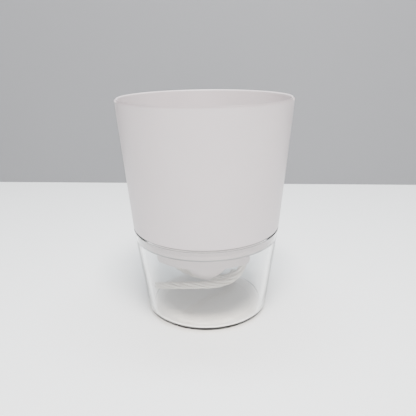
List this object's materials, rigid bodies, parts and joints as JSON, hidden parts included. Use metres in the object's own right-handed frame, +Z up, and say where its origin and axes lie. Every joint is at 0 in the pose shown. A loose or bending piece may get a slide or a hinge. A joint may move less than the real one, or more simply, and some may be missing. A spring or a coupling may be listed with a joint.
{
  "type": "self watering planter",
  "caption": "White tapered plant pot seated on a clear glass reservoir, with soft wick cords that carry water from the glass up through the floor to the soil.",
  "frame": {"origin": "centre of the surface that the glass stands on, on the pot's axis", "axes": "+Z up along the axis; X through the two wick holes, +X towards the right cord; -Y is the front"},
  "size_m": [0.1298, 0.1298, 0.17],
  "materials": {
    "clear_glass": "clear, fire polished",
    "seat_silicone": "soft translucent grey silicone",
    "white_plastic": "satin white moulding",
    "plate_plastic": "matte white moulding",
    "cotton": "laid cotton cord"
  },
  "bodies": {
    "reservoir": {"reservoir_glass": "clear_glass"},
    "ring": {"seat_ring": "seat_silicone"},
    "pot": {"planter_pot": "white_plastic", "wick_knot_right": "cotton", "wick_knot_left": "cotton", "wick_cord_right": "cotton", "wick_cord_left": "cotton"},
    "plate": {"soil_plate": "plate_plastic"}
  },
  "joints": [
    {"name": "pot_lift", "type": "slide", "parent": "reservoir", "child": "ring", "axis": [0, 0, 1], "range_m": [0, 0.08]},
    {"name": "pot_turn", "type": "hinge", "parent": "ring", "child": "pot", "pos_m": [0, 0, 0.0645], "axis": [0, 0, 1], "continuous": true},
    {"name": "plate_lift", "type": "slide", "parent": "pot", "child": "plate", "axis": [0, 0, 1], "range_m": [0, 0.11]}
  ]
}
